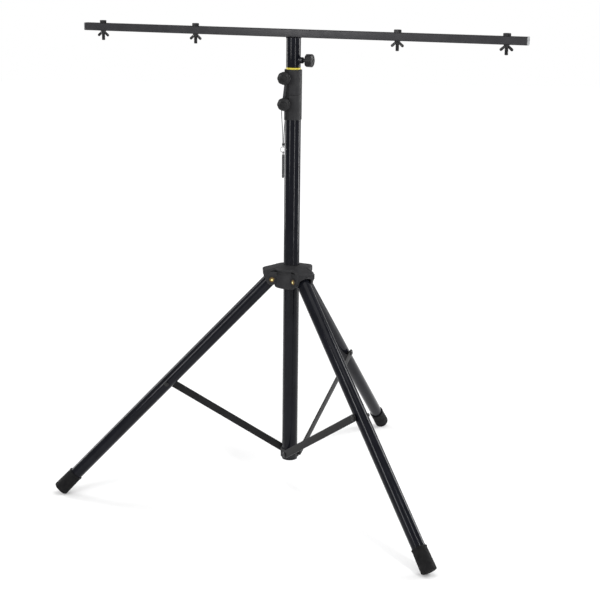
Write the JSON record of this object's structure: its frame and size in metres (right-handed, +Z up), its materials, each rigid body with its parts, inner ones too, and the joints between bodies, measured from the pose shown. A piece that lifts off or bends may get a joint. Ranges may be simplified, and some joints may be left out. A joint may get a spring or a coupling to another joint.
{
  "type": "light stand",
  "caption": "Telescopic lighting stand on a folding braced tripod, with a square T-bar that carries fixture bolts and wing nuts.",
  "frame": {"origin": "the point where the column axis meets the floor", "axes": "+Z up along the column; the clamp knobs face -Y; +X to the right when their grips face the viewer"},
  "size_m": [1.1951, 1.106, 1.2529],
  "materials": {
    "amber_plastic": "amber yellow plastic",
    "black_lanyard": "black cord and webbing",
    "black_pin": "black coated steel",
    "black_plastic": "matte black moulded plastic",
    "blackened_steel": "blackened steel, satin",
    "bright_wire": "bright nickel",
    "coated_tube": "glossy blue-black powder coat",
    "end_cap_grey": "matte light grey plastic",
    "rubber_feet": "matte black rubber",
    "satin_grey_black": "satin grey-black paint"
  },
  "bodies": {
    "column": {"main_tube": "coated_tube", "column_end_cap": "black_plastic", "brace_collar": "black_plastic", "lower_clamp": "black_plastic", "collar_bolt_left": "blackened_steel", "collar_bolt_front": "blackened_steel", "collar_bolt_rear": "blackened_steel"},
    "hub": {"hub": "black_plastic", "leg_pivot_bolt_left": "blackened_steel", "leg_pivot_bolt_front": "blackened_steel", "leg_pivot_bolt_rear": "blackened_steel", "leg_cap_left_1": "amber_plastic", "leg_cap_left_2": "amber_plastic", "leg_cap_front_1": "amber_plastic", "leg_cap_front_2": "amber_plastic", "leg_cap_rear_1": "amber_plastic", "leg_cap_rear_2": "amber_plastic"},
    "middle_section": {"middle_tube": "coated_tube", "middle_bush": "black_plastic", "upper_clamp": "black_plastic", "clamp_ring": "amber_plastic", "lanyard_strap": "black_lanyard"},
    "top_section": {"top_tube": "coated_tube", "top_bush": "black_plastic"},
    "tbar_assembly": {"tbar_sleeve": "coated_tube", "tbar": "satin_grey_black", "bar_cap_left": "end_cap_grey", "bar_cap_right": "end_cap_grey", "fixture_bolt_1": "blackened_steel", "fixture_bolt_2": "blackened_steel", "fixture_bolt_3": "blackened_steel", "fixture_bolt_4": "blackened_steel"},
    "lower_knob": {"lower_knob": "black_plastic"},
    "upper_knob": {"upper_knob": "black_plastic"},
    "tbar_knob": {"tbar_knob": "black_plastic"},
    "hub_lock_knob": {"hub_lock_knob": "black_plastic"},
    "lanyard": {"lanyard_cord": "black_lanyard", "lanyard_ferrule": "bright_wire", "split_ring": "bright_wire", "safety_pin": "black_pin"},
    "leg_left": {"leg_left": "coated_tube", "foot_left": "rubber_feet", "brace_bolt_left": "blackened_steel"},
    "brace_left": {"brace_left": "satin_grey_black", "brace_rivet_left": "blackened_steel"},
    "leg_front": {"leg_front": "coated_tube", "foot_front": "rubber_feet", "brace_bolt_front": "blackened_steel"},
    "brace_front": {"brace_front": "satin_grey_black", "brace_rivet_front": "blackened_steel"},
    "leg_rear": {"leg_rear": "coated_tube", "foot_rear": "rubber_feet", "brace_bolt_rear": "blackened_steel"},
    "brace_rear": {"brace_rear": "satin_grey_black", "brace_rivet_rear": "blackened_steel"},
    "wing_nut_1": {"wing_nut_1": "blackened_steel"},
    "wing_nut_2": {"wing_nut_2": "blackened_steel"},
    "wing_nut_3": {"wing_nut_3": "blackened_steel"},
    "wing_nut_4": {"wing_nut_4": "blackened_steel"}
  },
  "joints": [
    {"name": "hub_slide", "type": "slide", "parent": "column", "child": "hub", "axis": [0, 0, 1], "range_m": [0, 0.2856]},
    {"name": "leg_left_fold", "type": "hinge", "parent": "hub", "child": "leg_left", "pos_m": [-0.05195, -0.00227, 0.60301], "axis": [0.0436, -0.999, 0], "range_deg": [0, 44.02]},
    {"name": "brace_left_turn", "type": "hinge", "parent": "column", "child": "brace_left", "pos_m": [-0.01399, -0.00061, 0.11625], "axis": [-0.0436, 0.999, 0], "range_deg": [0, 52.09]},
    {"name": "leg_front_fold", "type": "hinge", "parent": "hub", "child": "leg_front", "pos_m": [0.02794, -0.04386, 0.60301], "axis": [0.8434, 0.5373, 0], "range_deg": [0, 44.02]},
    {"name": "brace_front_turn", "type": "hinge", "parent": "column", "child": "brace_front", "pos_m": [0.00752, -0.01181, 0.11625], "axis": [-0.8434, -0.5373, 0], "range_deg": [0, 52.09]},
    {"name": "leg_rear_fold", "type": "hinge", "parent": "hub", "child": "leg_rear", "pos_m": [0.02401, 0.04612, 0.60301], "axis": [-0.887, 0.4617, 0], "range_deg": [0, 44.02]},
    {"name": "brace_rear_turn", "type": "hinge", "parent": "column", "child": "brace_rear", "pos_m": [0.00646, 0.01242, 0.11625], "axis": [0.887, -0.4617, 0], "range_deg": [0, 52.09]},
    {"name": "middle_slide", "type": "slide", "parent": "column", "child": "middle_section", "axis": [0, 0, 1], "range_m": [0, 0.8]},
    {"name": "top_slide", "type": "slide", "parent": "middle_section", "child": "top_section", "axis": [0, 0, 1], "range_m": [0, 0.8]},
    {"name": "tbar_swivel", "type": "hinge", "parent": "top_section", "child": "tbar_assembly", "pos_m": [0, 0, 1.15075], "axis": [0, 0, 1], "continuous": true},
    {"name": "lower_knob_turn", "type": "hinge", "parent": "column", "child": "lower_knob", "pos_m": [-0.024, -0.0197, 1.06035], "axis": [0, -1, 0], "range_deg": [0, 360]},
    {"name": "upper_knob_turn", "type": "hinge", "parent": "middle_section", "child": "upper_knob", "pos_m": [-0.024, -0.0197, 1.12565], "axis": [0, -1, 0], "range_deg": [0, 360]},
    {"name": "tbar_knob_turn", "type": "hinge", "parent": "tbar_assembly", "child": "tbar_knob", "pos_m": [0.02477, -0.00996, 1.16895], "axis": [0.9278, -0.373, 0], "range_deg": [0, 360]},
    {"name": "hub_lock_knob_turn", "type": "hinge", "parent": "hub", "child": "hub_lock_knob", "pos_m": [-0.03009, 0.04723, 0.59951], "axis": [-0.5373, 0.8434, 0], "range_deg": [0, 360]},
    {"name": "wing_nut_1_turn", "type": "hinge", "parent": "tbar_assembly", "child": "wing_nut_1", "pos_m": [-0.50753, 0.20402, 1.22585], "axis": [0, 0, -1], "continuous": true},
    {"name": "wing_nut_2_turn", "type": "hinge", "parent": "tbar_assembly", "child": "wing_nut_2", "pos_m": [-0.25458, 0.10234, 1.22585], "axis": [0, 0, -1], "continuous": true},
    {"name": "wing_nut_3_turn", "type": "hinge", "parent": "tbar_assembly", "child": "wing_nut_3", "pos_m": [0.25458, -0.10234, 1.22585], "axis": [0, 0, -1], "continuous": true},
    {"name": "wing_nut_4_turn", "type": "hinge", "parent": "tbar_assembly", "child": "wing_nut_4", "pos_m": [0.50753, -0.20402, 1.22585], "axis": [0, 0, -1], "continuous": true},
    {"name": "lanyard_swing", "type": "hinge", "parent": "column", "child": "lanyard", "pos_m": [-0.024, -0.0211, 1.06035], "axis": [0, 1, 0], "range_deg": [0, 30.02]}
  ],
  "couplings": [
    {"joint": "leg_left_fold", "follows": "hub_slide", "rad_per_m": 2.6889},
    {"joint": "brace_left_turn", "follows": "hub_slide", "rad_per_m": 3.1818},
    {"joint": "leg_front_fold", "follows": "hub_slide", "rad_per_m": 2.6889},
    {"joint": "brace_front_turn", "follows": "hub_slide", "rad_per_m": 3.1818},
    {"joint": "leg_rear_fold", "follows": "hub_slide", "rad_per_m": 2.6889},
    {"joint": "brace_rear_turn", "follows": "hub_slide", "rad_per_m": 3.1818},
    {"joint": "lanyard_swing", "follows": "hub_slide", "rad_per_m": 1.8333}
  ]
}
